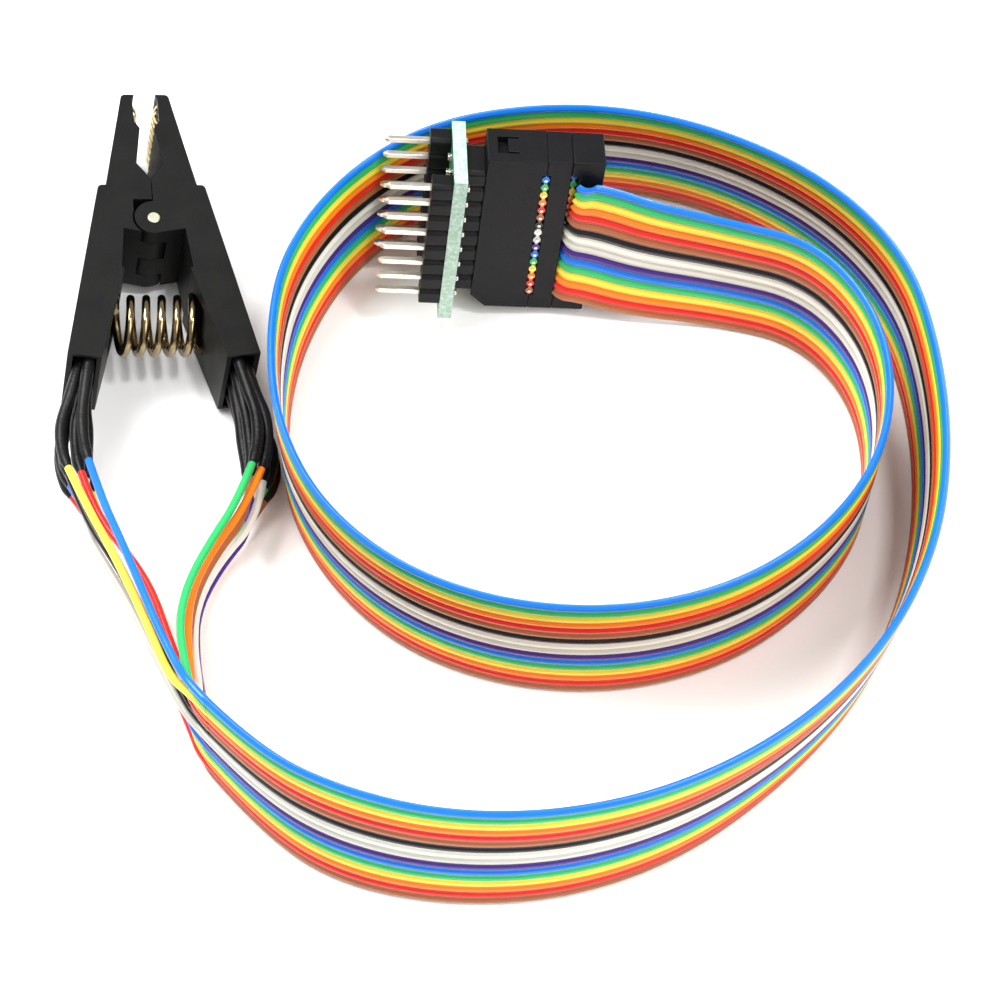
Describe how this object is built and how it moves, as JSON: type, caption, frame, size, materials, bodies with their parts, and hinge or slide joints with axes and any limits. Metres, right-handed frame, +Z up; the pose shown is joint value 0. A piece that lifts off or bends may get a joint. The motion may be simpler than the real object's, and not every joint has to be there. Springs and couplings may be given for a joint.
{
  "type": "spring test clip with ribbon cable and pin adapter",
  "caption": "Spring-loaded small-outline chip test clip on a rainbow ribbon cable, whose far end is a ribbon socket pushed onto a small board with two rows of long pins.",
  "frame": {"origin": "on the bench, under the middle of the clip, the socket and the board taken together", "axes": "+Z up from the bench; +Y towards the far side, the way the clip's nose points; +X from the clip towards the socket"},
  "size_m": [0.1035, 0.1019, 0.0269],
  "materials": {
    "clip_plastic": "moulded satin black",
    "socket_plastic": "moulded satin black",
    "header_plastic": "moulded black",
    "gold": "gold over phosphor bronze",
    "pin_metal": "pale gold plating",
    "hinge_steel": "turned pin",
    "spring_steel": "nickel plated wire",
    "board": "glass-cloth laminate, cut edge",
    "sleeve": "shrunk tubing, matt",
    "ribbon": "sixteen colours side by side",
    "wire_brown": "soft insulation",
    "wire_red": "soft insulation",
    "wire_orange": "soft insulation",
    "wire_yellow": "soft insulation",
    "wire_green": "soft insulation",
    "wire_blue": "soft insulation",
    "wire_violet": "soft insulation",
    "wire_grey": "soft insulation",
    "wire_white": "soft insulation",
    "wire_black": "soft insulation"
  },
  "bodies": {
    "left half and cable": {"adapter_board": "board", "clip_half_left": "clip_plastic", "contact_left_1": "gold", "contact_left_2": "gold", "contact_left_3": "gold", "contact_left_4": "gold", "contact_left_5": "gold", "contact_left_6": "gold", "contact_left_7": "gold", "contact_left_8": "gold", "header_far": "header_plastic", "header_near": "header_plastic", "header_pins_far": "pin_metal", "header_pins_near": "pin_metal", "hinge_pin": "hinge_steel", "idc_body": "socket_plastic", "idc_contacts": "gold", "idc_cover": "socket_plastic", "plug_header": "header_plastic", "plug_pins": "pin_metal", "ribbon_cable": "ribbon", "ribbon_in_connector": "ribbon", "sleeves_left": "sleeve", "spring": "spring_steel", "strain_relief": "socket_plastic", "wire_01": "wire_brown", "wire_02": "wire_red", "wire_03": "wire_orange", "wire_04": "wire_yellow", "wire_05": "wire_green", "wire_06": "wire_blue", "wire_07": "wire_violet", "wire_08": "wire_grey", "wire_09": "wire_white", "wire_10": "wire_black", "wire_11": "wire_brown", "wire_12": "wire_red", "wire_13": "wire_orange", "wire_14": "wire_yellow", "wire_15": "wire_green", "wire_16": "wire_blue"},
    "right half": {"clip_half_right": "clip_plastic", "contact_right_1": "gold", "contact_right_2": "gold", "contact_right_3": "gold", "contact_right_4": "gold", "contact_right_5": "gold", "contact_right_6": "gold", "contact_right_7": "gold", "contact_right_8": "gold", "sleeves_right": "sleeve"}
  },
  "joints": [
    {"name": "jaw_hinge", "type": "hinge", "parent": "left half and cable", "child": "right half", "pos_m": [-0.02238, 0.00775, 0.00759], "axis": [-0.1641, -0.0181, -0.9863], "range_deg": [0, 16], "stiffness_Nm_per_rad": 0.2, "springref_deg": -20.05, "deforming": ["spring", "wire_01", "wire_03", "wire_05", "wire_07", "wire_09", "wire_11", "wire_13", "wire_15"]}
  ]
}
